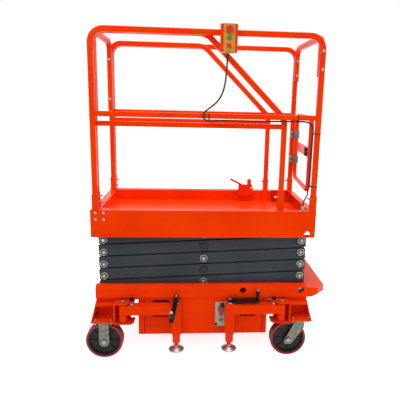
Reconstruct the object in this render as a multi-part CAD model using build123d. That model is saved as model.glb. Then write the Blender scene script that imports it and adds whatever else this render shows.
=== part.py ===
from build123d import *
import math
import os

# Sizes in mm and degrees.  X runs along the deck to the entry end, Y away from the control side, Z up.
# Chassis and arms are drawn about the scissor pack's middle, the deck about its own middle, deckX further on.
# Everything is moved by -boxMiddleX when it is written out.
# What seats on, carries or lines up with another piece is set from that piece, group by group, further down.

# fits
shaftFit = 0.05
tubeFit = 0.05
trackGap = 1.5
topRollerGap = 1.0
sideGap = 6.0
faceGap = 5.0

# scissor pack
stages = 5
armHalf = 535.0
armHeight = 60.0
armGap = 7.0
armThick = 30.0
packHalfWidth = 251.0
pinOffset = 9.0
shaftRadius = 12.0
eyeRadius = 26.0
endCorner = 8.0
clipRadius = 20.0
clipThick = 4.0
shaftStub = 3.0
crossTubeRadius = 16.0
crossTubeInset = 65.0
crossTubeSeat = 4.0
lowRollerRadius = 18.0
topRollerRadius = 26.0
rollerWidth = 14.0

# lift cylinder
barrelPinInset = 115.0
rodPinInset = 215.0
cylinderPinRadius = 15.0
barrelRadius = 30.0
barrelEyeRadius = 28.0
barrelEyeHalf = 25.0
barrelStart = 24.0
barrelShorter = 110.0
glandRadius = 33.0
glandLength = 26.0
rodRadius = 16.0
rodEyeRadius = 25.0
rodEyeHalf = 22.0

# chassis
beamHeight = 70.0
beamOutside = 49.0
beamLipPast = 4.0
beamPastLeft = 39.0
beamPastRight = 48.5
beamWall = 6.0
beamBevel = 18.0
pinAboveBeam = 41.0
lugThick = 10.0
lugLength = 74.0
floorSheet = 4.0
endPlateHeight = 13.0
stepBelowBeam = 17.0
stepLap = 13.5
stepLength = 91.0
stepCornerLength = 45.0
stepCornerWidth = 46.0
stepSheet = 5.0
stepFlat = 14.0
stepRise = 17.0
boxLeft = 350.5
boxRight = 353.5
boxInset = 12.0
boxHeight = 221.0
boxEdge = 5.0
pocketLeftX = 230.0
pocketRightX = 245.5
pocketWidth = 96.0
pocketHeight = 100.0
pocketAbove = 102.0
pocketCorner = 18.0
seamLeftInset = 32.0
seamRightInset = 23.0
seamWidth = 4.0
seamDepth = 2.0
tieHoleInset = 47.0
tieHolePitch = 321.0
tieHoleAbove = 39.0
tieHoleRadius = 17.0
panelX = 97.5
panelWidth = 62.0
panelAbove = 51.0
panelHeight = 140.0
panelDepth = 8.0
buttonRadius = 10.0
mushroomRadius = 17.0
buttonDepth = 7.0
mushroomDepth = 20.0
buttonPitch = 33.0

# casters
wheelRadius = 100.0
wheelWidth = 50.0
hubRadius = 88.0
hubDish = 9.0
hubRim = 8.0
hubBossRadius = 24.0
ribCount = 8
ribThick = 5.0
axleRadius = 8.0
wheelInset = 39.0
casterInside = 24.0
swivelFurther = 5.0
trail = 62.0
wheelHeadroom = 5.0
forkSheet = 5.0
forkSideGap = 3.0
forkHalf = 27.0
forkFoot = 14.0
forkBelowAxle = 30.0
forkThroat = 42.0
casterPlateLength = 104.0
casterPlateWidth = 90.0
casterPlateThick = 5.0
raceRadius = 33.0
raceGap = 4.0
axleNutRadius = 13.0
axleNutThick = 7.0

# corner brackets
plateThick = 8.0
bracketInside = 63.0
bracketOutside = 62.0
bracketSlope = 20.0
bracketFront = 57.0
bracketWebBack = 38.0
bracketDeep = 183.0
bracketSheet = 6.0
lipHeight = 96.0
lipDrop = 22.0
lipBehind = 2.0
riserHeight = 27.0
riserBehind = 24.0

# outriggers
hingeReach = 44.5
hingeOutside = 25.0
hingePinRadius = 10.0
hingeTubeRadius = 22.0
lowerEarBelow = 6.5
upperEarBelow = 18.0
earSheet = 6.0
earFront = 27.0
upperEarPast = 34.5
lowerEarPast = 58.5
upperEarCut = 18.0
lowerEarCorner = 30.0
legReach = 283.5
armSquare = 50.0
armUnderEar = 9.0
armEndPast = 12.5
legSquare = 50.0
legAboveArm = 6.0
legHeight = 170.0
legCap = 6.0
innerTube = 40.0
innerTubeFit = 0.4
innerTubeInside = 140.0
innerTubeShown = 50.0
neckRadius = 12.0
footRadius = 41.0
footDrop = 50.0
footRim = 6.0
footDome = 16.0
screwRadius = 7.0
screwNutRadius = 13.0
screwNutThick = 5.0
tallScrew = 34.0
shortScrew = 14.0
crankReach = 149.0
swungCrankReach = 140.0
swungCrankAside = 20.0
swungCrankDrop = 60.0
crankWidth = 24.0
crankThick = 15.0
crankPast = 22.0
gripRadius = 9.0
gripLength = 55.0
knobAlong = 45.5
knobRadius = 11.0
knobAboveArm = 31.0
plungerRadius = 7.5

# deck
deckX = 6.5
deckPast = 50.0
deckOutside = 50.0
skirtBelowPin = 37.5
boardHeight = 145.0
boardPast = 9.0
sheet = 4.0
boardLip = 29.5
endLip = 33.0
trackWidth = 40.0
trackSheet = 5.0
deckLugLength = 72.0
extFloorAbove = 13.0
extSideInset = 51.0
extSheet = 3.0
extFlange = 12.0
extShorter = 145.0
extPast = 17.0
extBevel = 15.0
extInset = 39.0
extEndBelow = 5.0
runnerWidth = 30.0
runnerInset = 35.0
boardHoleInset = 43.0
boardHoleAbove = 22.5
boardHoleRadius = 16.0

# guard rails
tubeSize = 28.0
tubeCorner = 6.0
midTube = 26.0
railHeight = 886.5
frameInset = 38.0
postInset = 18.0
outerMidDrop = 399.0
innerMidDrop = 49.0
bendRadius = 65.0
hoopBend = 55.0
socketSize = 32.0
socketHeight = 80.5
innerPostInset = 40.0
diagonalReach = 409.0
diagonalFootAbove = 39.0
leftHoopAbove = 1.0
rightHoopDrop = 194.0

# gate
gateTube = 26.0
gateBend = 45.0
gatePastPost = 21.0
gateBackInset = 36.0
gateFrontInset = 62.0
gateBehindPost = 16.0
gateAboveSocket = 17.0
gateUnderRail = 2.0
gatePlateDrop = 158.0
gatePlateHeight = 54.0
gatePlateSheet = 6.0
slotLength = 34.0
slotHeight = 12.0
slotAlong = 105.0
latchAlong = 380.0
latchLength = 26.0
latchHeight = 44.0
latchDepth = 12.0
leverRadius = 5.0
leverLength = 34.0
hingeHeight = 44.0
lowHingeAbove = 112.0
highHingeBelow = 118.0
collarRadius = 18.0
leafSheet = 5.0
stopSheet = 5.0
stopHeight = 60.0
stopReach = 58.0

# deck latch, pendant and its cord
saddleX = 270.0
saddleLength = 90.0
saddleDrop = 30.0
saddleRise = 13.0
saddleDepth = 34.0
saddleSheet = 4.0
cheekHeight = 30.0
latchLeverLength = 96.0
latchLeverSize = 12.0
latchLeverTilt = 27.0
latchKnobRadius = 13.0
latchKnobAbove = 75.5
latchPinRadius = 5.0
pendantX = 95.5
pendantWidth = 56.0
pendantDrop = 96.0
pendantHeight = 130.0
pendantDepth = 42.0
pendantCorner = 6.0
holderRim = 13.0
holderSheet = 4.0
holderShallower = 6.0
cordRadius = 4.0
cordGlandRadius = 10.0
cordGlandLength = 8.0
cordGlandLeft = 5.5
plugRadius = 9.0
plugLength = 26.0

# ranges, friction and mass used by the record
maxRaise = 36.4
rolloutStroke = 500.0
gateSwing = 68.0
liftFriction = 30000.0
emptyMass = 480.0

# heights, from the casters up through the brackets, the beams and the folded arms to the deck and its rails
plateTop = 2 * wheelRadius + wheelHeadroom + 2 * raceGap + casterPlateThick + plateThick
lipTop = plateTop + lipHeight
beamBottom = lipTop + riserHeight
beamTop = beamBottom + beamHeight
levelZero = beamBottom + pinAboveBeam
levelStep = armHeight + armGap
topLevel = levelZero + stages * levelStep
mainFloorUnder = topLevel + topRollerRadius + topRollerGap
mainFloorTop = mainFloorUnder + sheet
skirtBottom = topLevel - skirtBelowPin
boardTop = skirtBottom + boardHeight
extFloorTop = mainFloorTop + extFloorAbove
extEndBottom = mainFloorTop - extEndBelow
socketTopZ = boardTop + socketHeight
railTopZ = boardTop + railHeight
outerMidZ = railTopZ - outerMidDrop
innerMidZ = outerMidZ - innerMidDrop
diagonalFootZ = innerMidZ + diagonalFootAbove
leftHoopEnd = outerMidZ + leftHoopAbove
rightHoopEnd = railTopZ - rightHoopDrop
pendantBottom = railTopZ - pendantDrop
latchKnobTop = boardTop + latchKnobAbove

# the folded arms
armReach = math.hypot(armHalf, pinOffset)
foldAngle = math.degrees(math.asin(levelStep / (2 * armReach)))
pinX = armReach * math.cos(math.radians(foldAngle))
tilt = foldAngle - math.degrees(math.atan2(pinOffset, armHalf))
outerArmY = packHalfWidth - armThick / 2
innerArmY = outerArmY - armThick - faceGap
clipOutY = packHalfWidth + clipThick
stubOutY = clipOutY + shaftStub
lugY = clipOutY + faceGap
rollerY = clipOutY + faceGap
crossTubeReach = innerArmY - armThick / 2 + crossTubeSeat
barrelPinAlong = armHalf - barrelPinInset
rodPinAlong = rodPinInset - armHalf

# chassis, casters, brackets and outriggers about the arms
beamFaceY = packHalfWidth + beamOutside
beamLipY = rollerY + beamLipPast
beamLeft = armHalf + beamPastLeft
beamRight = armHalf + beamPastRight
endPlateTop = beamBottom + endPlateHeight
stepTopZ = beamTop - stepBelowBeam
stepStart = beamRight - stepLap
stepTipX = beamRight + stepLength
stepCornerX = stepTipX - stepCornerLength
stepTipHalf = beamFaceY - stepCornerWidth
boxFaceY = beamFaceY - boxInset
boxBottom = beamBottom - boxHeight
pocketBottom = boxBottom + pocketAbove
seamLeftX = boxLeft - seamLeftInset
seamRightX = boxRight - seamRightInset
tieHoleX2 = beamRight - tieHoleInset
tieHoleX1 = tieHoleX2 - tieHolePitch
tieHoleZ = beamBottom + tieHoleAbove
panelBottom = boxBottom + panelAbove
panelTop = panelBottom + panelHeight
fixedWheelX = beamLeft - wheelInset
swivelX = fixedWheelX + swivelFurther
casterY = beamFaceY - casterInside
bracketInnerX = fixedWheelX - bracketInside
bracketFootX = fixedWheelX + bracketOutside
bracketLipX = bracketFootX - bracketSlope
bracketFrontY = casterY + bracketFront
bracketWebY = casterY - bracketWebBack
bracketBackY = bracketFrontY - bracketDeep
lipFrontY = beamFaceY - lipBehind
riserFrontY = beamFaceY - riserBehind
hingeX = bracketInnerX - hingeReach
hingeY = beamFaceY + hingeOutside
lowerEarZ = plateTop - lowerEarBelow
upperEarZ = beamBottom - upperEarBelow
earFrontY = hingeY + earFront
upperEarX = hingeX - upperEarPast
lowerEarX = hingeX - lowerEarPast
legX = hingeX - legReach
armTopZ = upperEarZ - armUnderEar
legTopZ = armTopZ + legAboveArm
legBottomZ = legTopZ - legHeight
footBottom = legBottomZ - innerTubeShown - footDrop
knobZ = armTopZ + knobAboveArm

# deck, rails and gate about the arms
halfLength = armHalf + deckPast
halfWidth = packHalfWidth + deckOutside
extRight = halfLength - extShorter
extOut = halfLength + extPast
extInner = halfLength - extInset
extSideY = halfWidth - extSideInset
runnerY = extSideY - runnerInset
boardHoleX = halfLength - boardHoleInset
boardHoleZ = skirtBottom + boardHoleAbove
outerFrameY = halfWidth - tubeSize / 2
innerFrameY = outerFrameY - frameInset
postX = halfLength - postInset
innerPostX = extRight - innerPostInset
diagonalTopX = innerPostX - diagonalReach
gateBackX = postX + gatePastPost
gateBackY = outerFrameY - gateBackInset
gateFrontX = postX - gateBehindPost
gateFrontY = outerFrameY - gateFrontInset
gateBottomZ = socketTopZ + gateAboveSocket
gateTopZ = outerMidZ - gateUnderRail
gatePlateTop = gateTopZ - gatePlateDrop
hingeLowZ = gateBottomZ + lowHingeAbove
hingeHighZ = gateTopZ - highHingeBelow
wheelX = {"front_left": -fixedWheelX, "front_right": swivelX - trail, "rear_left": -fixedWheelX,
          "rear_right": swivelX - trail}
casterTable = (("front_left", -1, -1), ("front_right", 1, -1), ("rear_left", -1, 1), ("rear_right", 1, 1))
boxMiddleX = (stepTipX - fixedWheelX - wheelRadius) / 2

os.makedirs("parts", exist_ok=True)


def save(name, shape, shift=0.0):
    solids = list(shape.solids())
    moved = Compound(children=[Pos(shift - boxMiddleX, 0, 0) * s for s in solids])
    export_step(moved, "parts/" + name + ".step")
    box = moved.bounding_box()
    print(name, len(solids), "solids", [round(v, 1) for v in (*box.min, *box.max)])


def block(x0, x1, y0, y1, z0, z1):
    return Pos((x0 + x1) / 2, (y0 + y1) / 2, (z0 + z1) / 2) * Box(abs(x1 - x0), abs(y1 - y0), abs(z1 - z0))


def rod_y(x, y0, y1, z, r):
    return Pos(x, (y0 + y1) / 2, z) * Rot(90, 0, 0) * Cylinder(r, abs(y1 - y0))


def rod_z(x, y, z0, z1, r):
    return Pos(x, y, (z0 + z1) / 2) * Cylinder(r, abs(z1 - z0))


def rod_between(a, b, r):
    start = Vector(*a)
    ahead = Vector(*b) - start
    return Plane(origin=start, z_dir=ahead) * Cylinder(r, ahead.length, align=(Align.CENTER, Align.CENTER, Align.MIN))


def plate_y(points, y0, y1):
    face = make_face(Polyline(*[(x, 0, z) for x, z in points], close=True))
    return Pos(0, min(y0, y1), 0) * extrude(face, amount=abs(y1 - y0), dir=(0, 1, 0))


def plate_x(points, x0, x1):
    face = make_face(Polyline(*[(0, y, z) for y, z in points], close=True))
    return Pos(min(x0, x1), 0, 0) * extrude(face, amount=abs(x1 - x0), dir=(1, 0, 0))


def plate_z(points, z0, z1):
    face = make_face(Polyline(*[(x, y, 0) for x, y in points], close=True))
    return Pos(0, 0, z0) * extrude(face, amount=z1 - z0, dir=(0, 0, 1))


def bent(points, radii, size, corner=tubeCorner):
    path = FilletPolyline(*points, radius=radii)
    start = Vector(*points[0])
    ahead = (Vector(*points[1]) - start).normalized()
    side = Vector(0, 1, 0) if abs(ahead.Y) < 0.5 else Vector(1, 0, 0)
    section = Plane(origin=start, x_dir=side, z_dir=ahead) * RectangleRounded(size, size, corner)
    return sweep(section, path=path)


def bar_x(x0, x1, y, z, size):
    section = Plane(origin=(x0, y, z), x_dir=(0, 1, 0), z_dir=(1, 0, 0)) * RectangleRounded(size, size, tubeCorner)
    return extrude(section, amount=x1 - x0)


def joined(pieces):
    whole = pieces[0]
    for piece in pieces[1:]:
        whole = whole + piece
    return whole


def mirror_y(shape):
    return mirror(shape, about=Plane.XZ)


def both_sides(shape):
    return joined([shape, mirror_y(shape)])


def fillet_upright(shape, x, y, radius):
    edges = [e for e in shape.edges().filter_by(Axis.Z) if abs(e.center().X - x) < 0.1 and abs(e.center().Y - y) < 0.1]
    return fillet(edges, radius)


# chassis: two folded channels that open inwards, joined by a floor and end plates
mitre = beamWall * math.tan(math.radians(22.5))
channel = [(-beamFaceY, beamBottom), (-beamFaceY, beamTop - beamBevel), (-beamFaceY + beamBevel, beamTop),
           (-beamLipY, beamTop), (-beamLipY, beamTop - beamWall),
           (-beamFaceY + beamBevel + mitre, beamTop - beamWall),
           (-beamFaceY + beamWall, beamTop - beamBevel - mitre), (-beamFaceY + beamWall, beamBottom + beamWall),
           (-beamLipY, beamBottom + beamWall), (-beamLipY, beamBottom)]
beam = plate_x(channel, -beamLeft, beamRight)
stepSeat = [(stepStart - beamBevel / 2, beamTop + 1), (stepStart, stepTopZ - stepSheet),
            (beamRight + 1, stepTopZ - stepSheet), (beamRight + 1, beamTop + 1)]
beam = beam - plate_y(stepSeat, -beamFaceY - 1, -beamLipY + 1)
lug = block(-beamLeft, -beamLeft + lugLength, -lugY - lugThick, -lugY, beamBottom, beamTop - 1)
track = block(-beamLeft + lugLength, beamRight, -beamLipY - rollerWidth, -lugY, beamBottom,
              levelZero - lowRollerRadius - trackGap)
beam = joined([beam, lug, track])
beam = beam - rod_y(-pinX, -beamFaceY + beamWall, -lugY + 1, levelZero, shaftRadius + shaftFit)
for x in (tieHoleX1, tieHoleX2):
    beam = beam - rod_y(x, -beamFaceY - 1, -beamFaceY + beamWall + 1, tieHoleZ, tieHoleRadius)
floorPlate = block(-beamLeft, beamRight, -beamLipY - 1, beamLipY + 1, beamBottom, beamBottom + floorSheet)
leftEnd = block(-beamLeft, -beamLeft + beamWall, -beamLipY - 1, beamLipY + 1, beamBottom, endPlateTop)
rightEnd = block(beamRight - beamWall, beamRight, -beamLipY - 1, beamLipY + 1, beamBottom, stepTopZ - stepSheet)
save("chassis_frame", joined([both_sides(beam), floorPlate, leftEnd, rightEnd]))


def step_outline(inset):
    half = beamFaceY - inset
    corner = stepCornerX - inset * math.tan(math.radians(22.5))
    tipHalf = stepTipHalf - inset * math.tan(math.radians(22.5))
    return [(beamRight, -half), (corner, -half), (stepTipX - inset, -tipHalf), (stepTipX - inset, tipHalf),
            (corner, half), (beamRight, half)]


stepTop = plate_z([(stepStart, -beamFaceY), *step_outline(0)[1:5], (stepStart, beamFaceY)],
                  stepTopZ - stepSheet, stepTopZ)
skirt = plate_z(step_outline(0), beamBottom, stepTopZ - stepSheet)
skirt = skirt - plate_z([(beamRight - 1, step_outline(stepSheet)[0][1]), *step_outline(stepSheet)[1:5],
                         (beamRight - 1, step_outline(stepSheet)[5][1])], beamBottom - 1, stepTopZ)
slope = [(beamRight + stepFlat, beamBottom - 1), (beamRight + stepFlat, beamBottom),
         (stepCornerX, beamBottom + stepRise), (stepTipX + 1, beamBottom + stepRise), (stepTipX + 1, beamBottom - 1)]
save("step_plate", joined([stepTop, skirt - plate_y(slope, -beamFaceY - 1, beamFaceY + 1)]))

housing = block(-boxLeft, boxRight, -boxFaceY, boxFaceY, boxBottom, beamBottom)
housing = fillet([e for e in housing.edges().filter_by(Axis.X) if e.center().Z < boxBottom + 1], boxEdge)
for x in (-pocketLeftX, pocketRightX):
    pocket = Plane(origin=(x, -boxFaceY - 1, pocketBottom + pocketHeight / 2), x_dir=(1, 0, 0), z_dir=(0, -1, 0))
    housing = housing - extrude(pocket * RectangleRounded(pocketWidth, pocketHeight, pocketCorner),
                                amount=-2 * boxFaceY - 2)
for x in (-seamLeftX, seamRightX):
    seam = block(x - seamWidth / 2, x + seamWidth / 2, -boxFaceY - 1, -boxFaceY + seamDepth, boxBottom - 1,
                 beamBottom + 1)
    housing = housing - seam - mirror_y(seam)
save("power_housing", housing)

panelMiddle = (panelBottom + panelTop) / 2
panelFace = -boxFaceY - panelDepth
panel = block(panelX - panelWidth / 2, panelX + panelWidth / 2, panelFace, -boxFaceY, panelBottom, panelTop)
panel = fillet([e for e in panel.edges().filter_by(Axis.Y)], boxEdge)
panel = joined([panel,
                rod_y(panelX, panelFace - mushroomDepth, panelFace - mushroomDepth / 2, panelMiddle + buttonPitch,
                      mushroomRadius),
                rod_y(panelX, panelFace - mushroomDepth / 2, panelFace, panelMiddle + buttonPitch, buttonRadius),
                rod_y(panelX, panelFace - buttonDepth, panelFace, panelMiddle, buttonRadius),
                rod_y(panelX, panelFace - buttonDepth, panelFace, panelMiddle - buttonPitch, buttonRadius)])
save("ground_controls", panel)


# corner brackets: caster plate, slanted web, folded flange, riser to the beam, and the outrigger's hinge ears
def corner_bracket(sx):
    foot = sx * bracketFootX
    inner = sx * bracketInnerX
    lip = sx * bracketLipX
    sheetX = sx * bracketSheet
    bottom = block(inner, foot, -bracketFrontY, -bracketBackY, plateTop - plateThick, plateTop)
    web = plate_y([(inner, plateTop), (foot, plateTop), (lip, lipTop), (inner, lipTop)],
                  -bracketWebY, -bracketWebY + bracketSheet)
    flange = block(inner, lip, -lipFrontY, -bracketWebY + 1, lipTop - bracketSheet, lipTop)
    lipFace = block(inner, lip, -lipFrontY, -lipFrontY + bracketSheet, lipTop - lipDrop, lipTop)
    riser = block(inner, lip, -riserFrontY, -bracketBackY, lipTop, beamBottom)
    backWeb = block(inner, lip, -bracketBackY - bracketSheet, -bracketBackY, plateTop, lipTop)
    side = plate_y([(foot - sheetX, plateTop), (foot, plateTop), (lip, lipTop), (lip - sheetX, lipTop)],
                   -bracketFrontY, -bracketWebY + 1)
    side = side & plate_x([(-bracketWebY + 1, plateTop - 1), (-bracketFrontY, plateTop - 1), (-bracketFrontY, plateTop),
                           (-lipFrontY, lipTop - lipDrop), (-lipFrontY, lipTop + 1), (-bracketWebY + 1, lipTop + 1)],
                          min(lip, foot) - bracketSheet, max(lip, foot) + 1)
    cheek = block(inner - sheetX, inner, -earFrontY, -bracketWebY + bracketSheet, lowerEarZ, upperEarZ + earSheet)
    backPlate = block(inner, sx * upperEarX, -hingeY + hingeTubeRadius + sideGap * 4,
                      -hingeY + hingeTubeRadius + sideGap * 4 + bracketSheet, lowerEarZ, beamBottom)
    backY = -hingeY + hingeTubeRadius + sideGap * 4 + 1
    upper = plate_z([(inner, backY), (inner, -earFrontY), (sx * (upperEarX + upperEarCut), -earFrontY),
                     (sx * upperEarX, -earFrontY + upperEarCut), (sx * upperEarX, backY)],
                    upperEarZ, upperEarZ + earSheet)
    lower = plate_z([(inner, backY), (inner, -earFrontY), (sx * lowerEarX, -earFrontY), (sx * lowerEarX, backY)],
                    lowerEarZ, lowerEarZ + earSheet)
    lower = fillet_upright(lower, sx * lowerEarX, -earFrontY, lowerEarCorner)
    reach = boxLeft if sx < 0 else boxRight
    tie = block(sx * upperEarX, sx * reach, backY - 1, backY - 1 + bracketSheet, upperEarZ, beamBottom)
    pin = rod_z(sx * hingeX, -hingeY, lowerEarZ - earSheet, upperEarZ + 1.5 * earSheet, hingePinRadius)
    return joined([bottom, web, flange, lipFace, side, riser, backWeb, cheek, backPlate, tie, upper, lower, pin])


brackets = []
for sx in (-1, 1):
    brackets.append(corner_bracket(sx))
    brackets.append(mirror_y(brackets[-1]))
save("corner_brackets", Compound(children=brackets))


# casters
def wheel_parts(x, y):
    halfWheel = wheelWidth / 2
    rim = rod_y(x, y - halfWheel, y + halfWheel, wheelRadius, wheelRadius)
    rim = fillet(rim.edges().filter_by(GeomType.CIRCLE), hubRim / 2)
    tyre = rim - rod_y(x, y - wheelWidth, y + wheelWidth, wheelRadius, hubRadius)
    dish = hubRadius - hubRim
    hub = rod_y(x, y - halfWheel + forkSideGap, y + halfWheel - forkSideGap, wheelRadius, hubRadius)
    for s in (-1, 1):
        floorY = y + s * (halfWheel - forkSideGap - hubDish)
        hub = hub - rod_y(x, floorY, y + s * wheelWidth, wheelRadius, dish)
        for k in range(ribCount):
            rib = block(hubBossRadius - 2, dish + 1, -ribThick / 2, ribThick / 2, 0, hubDish / 2)
            turn = Pos(x, floorY, wheelRadius) * Rot(s * 90, 0, 0) * Rot(0, 0, 360 / ribCount * k)
            hub = hub + turn * Pos(0, 0, -hubDish / 2) * rib if s > 0 else hub + turn * Pos(0, 0, -hubDish / 2) * rib
    hub = hub + rod_y(x, y - halfWheel + 1, y + halfWheel - 1, wheelRadius, hubBossRadius)
    return tyre, hub - rod_y(x, y - wheelWidth, y + wheelWidth, wheelRadius, axleRadius + shaftFit)


crownTop = plateTop - plateThick - casterPlateThick - raceGap
crownUnder = crownTop - raceGap


def fork(topX, axleX, y, raked):
    foot = wheelRadius - forkBelowAxle
    if raked:
        outline = [(topX - forkHalf, crownTop), (topX + forkHalf, crownTop), (topX + forkHalf - 5, crownTop - forkThroat),
                   (axleX + forkHalf - 3, foot + 9), (axleX + forkFoot, foot), (axleX - forkFoot, foot),
                   (axleX - forkHalf + 2, foot + 16)]
    else:
        outline = [(topX - forkHalf, crownTop), (topX + forkHalf, crownTop), (axleX + forkHalf, foot + 16),
                   (axleX + forkFoot, foot), (axleX - forkFoot, foot), (axleX - forkHalf, foot + 16)]
    inner = wheelWidth / 2 + forkSideGap
    pieces = [block(topX - forkHalf, topX + forkHalf, y - inner - 1, y + inner + 1, crownUnder, crownTop)]
    for s in (-1, 1):
        pieces.append(plate_y(outline, y + s * inner, y + s * (inner + forkSheet)))
        outer = inner + forkSheet
        pieces.append(rod_y(axleX, y + s * outer, y + s * (outer + axleNutThick), wheelRadius, axleNutRadius))
    pieces.append(rod_y(axleX, y - inner - 1, y + inner + 1, wheelRadius, axleRadius))
    return joined(pieces)


mounts = []
for name, sx, sy in casterTable:
    y = sy * casterY
    top = sx * fixedWheelX if sx < 0 else swivelX
    plate = block(top - casterPlateLength / 2, top + casterPlateLength / 2, y - casterPlateWidth / 2,
                  y + casterPlateWidth / 2, plateTop - plateThick - casterPlateThick, plateTop - plateThick)
    if sx < 0:
        race = rod_z(top, y, crownTop, plateTop - plateThick - casterPlateThick, forkHalf)
        mounts.append(joined([fork(top, wheelX[name], y, False), plate, race]))
    else:
        race = rod_z(top, y, crownTop, crownTop + raceGap / 2, raceRadius)
        bore = rod_z(top, y, crownUnder - 1, plateTop, axleRadius + shaftFit)
        save("swivel_fork_" + name, joined([fork(top, wheelX[name], y, True), race]) - bore)
        mounts.append(joined([plate, rod_z(top, y, crownUnder, plateTop - plateThick, axleRadius)]))
    tyre, hub = wheel_parts(wheelX[name], y)
    save("tyre_" + name, tyre)
    save("hub_" + name, hub)
save("caster_mounts", Compound(children=mounts))

# outriggers
armBottomZ = armTopZ - armSquare
tubeLowZ = lowerEarZ + earSheet + faceGap
tubeHighZ = upperEarZ - faceGap
for name, sx, sy in casterTable:
    hx = sx * hingeX
    hy = sy * hingeY
    lx = sx * legX
    half = legSquare / 2
    bar = block(hx + sx * armEndPast, lx, hy - armSquare / 2, hy + armSquare / 2, armBottomZ, armTopZ)
    bar = fillet([e for e in bar.edges().filter_by(Axis.X)], tubeCorner / 2)
    knuckle = rod_z(hx, hy, tubeLowZ, tubeHighZ, hingeTubeRadius)
    leg = block(lx - half, lx + half, hy - half, hy + half, legBottomZ, legTopZ)
    leg = fillet([e for e in leg.edges().filter_by(Axis.Z)], tubeCorner / 2)
    hole = innerTube / 2 + innerTubeFit
    bore = block(lx - hole, lx + hole, hy - hole, hy + hole, legBottomZ - 1, legTopZ - legCap)
    arm = joined([bar, knuckle, leg]) - bore
    arm = arm - rod_z(hx, hy, lowerEarZ, upperEarZ, hingePinRadius + shaftFit)
    save("outrigger_arm_" + name, arm)

    half = innerTube / 2
    stemBottom = legBottomZ - innerTubeShown
    stem = block(lx - half, lx + half, hy - half, hy + half, stemBottom, stemBottom + innerTubeInside)
    footProfile = Polyline((0, footBottom), (footRadius, footBottom), (footRadius, footBottom + footRim),
                           (neckRadius, footBottom + footRim + footDome), (neckRadius, stemBottom + 1),
                           (0, stemBottom + 1), close=True)
    foot = revolve(make_face(Plane.XZ * footProfile), axis=Axis.Z)
    save("jack_leg_" + name, joined([stem, Pos(lx, hy, 0) * foot]))

    pointed = (sx * sy) > 0
    screwTop = legTopZ + (tallScrew if pointed else shortScrew)
    root = Vector(lx, hy, screwTop)
    if pointed:
        tip = root + Vector(sx * swungCrankAside, sy * swungCrankReach, -swungCrankDrop)
        up = Vector(0, sy * 0.38, 0.925)
    else:
        tip = root + Vector(sx * crankReach, 0, 0)
        up = Vector(0, 0, 1)
    ahead = tip - root
    lay = Plane(origin=root, x_dir=ahead.cross(up), z_dir=ahead)
    crankBar = lay * Pos(0, 0, ahead.length / 2) * Box(crankWidth, crankThick, ahead.length + crankPast)
    grip = Plane(origin=tip, z_dir=up) * Cylinder(gripRadius, gripLength, align=(Align.CENTER, Align.CENTER, Align.MIN))
    screw = rod_z(lx, hy, legTopZ, screwTop, screwRadius)
    collar = rod_z(lx, hy, legTopZ, legTopZ + screwNutThick, screwNutRadius)
    crank = joined([screw, collar, crankBar, grip])
    knobX = hx - sx * knobAlong
    ball = Pos(knobX, hy, knobZ) * Sphere(knobRadius)
    ball = ball - block(knobX - 20, knobX + 20, hy - 20, hy + 20, armTopZ, knobZ - knobRadius * 0.75)
    plunger = joined([rod_z(knobX, hy, armTopZ, knobZ - knobRadius * 0.6, plungerRadius), ball])
    save("outrigger_fittings_" + name, Compound(children=[crank, plunger]))


# scissor arms: end pins sit low at one end and high at the other, so the folded bars lie parallel and close
def arm_bar(y, eyes, leftPast=0.0, rightPast=0.0):
    y0 = y - armThick / 2
    y1 = y + armThick / 2
    bar = block(-armHalf - leftPast, armHalf + rightPast, y0, y1, -armHeight / 2, armHeight / 2)
    ends = [e for e in bar.edges().filter_by(Axis.Y) if abs(e.center().X) > armHalf + 1]
    if ends:
        bar = fillet(ends, endCorner)
    left = rod_y(-armHalf, y0, y1, -pinOffset, eyeRadius)
    right = rod_y(armHalf, y0, y1, pinOffset, eyeRadius)
    clip = block(-armHalf - eyeRadius, armHalf + eyeRadius, y0, y1, -armHeight / 2, armHeight / 2)
    bar = joined([bar, left, right]) & clip
    for x, z in eyes:
        bar = bar - rod_y(x, y0 - 1, y1 + 1, z, shaftRadius + shaftFit)
    return bar


pivotReach = beamFaceY - beamWall - sideGap
deckPinReach = halfWidth - sheet - sideGap


def outer_arm(stage):
    parts = []
    rightPast = 0.0 if stage == stages else eyeRadius
    for s in (-1, 1):
        parts.append(arm_bar(s * outerArmY, [(0, 0)], eyeRadius, rightPast))
        for x, z in ((-armHalf, -pinOffset), (armHalf, pinOffset)):
            parts.append(rod_y(x, s * packHalfWidth, s * clipOutY, z, clipRadius))
    low = pivotReach if stage == 1 else stubOutY
    high = rollerY + rollerWidth if stage == stages else stubOutY
    parts.append(rod_y(-armHalf, -low, low, -pinOffset, shaftRadius))
    parts.append(rod_y(armHalf, -high, high, pinOffset, shaftRadius))
    if stage == stages:
        for s in (-1, 1):
            parts.append(rod_y(armHalf, s * rollerY, s * (rollerY + rollerWidth), pinOffset, topRollerRadius))
    return joined(parts)


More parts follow.
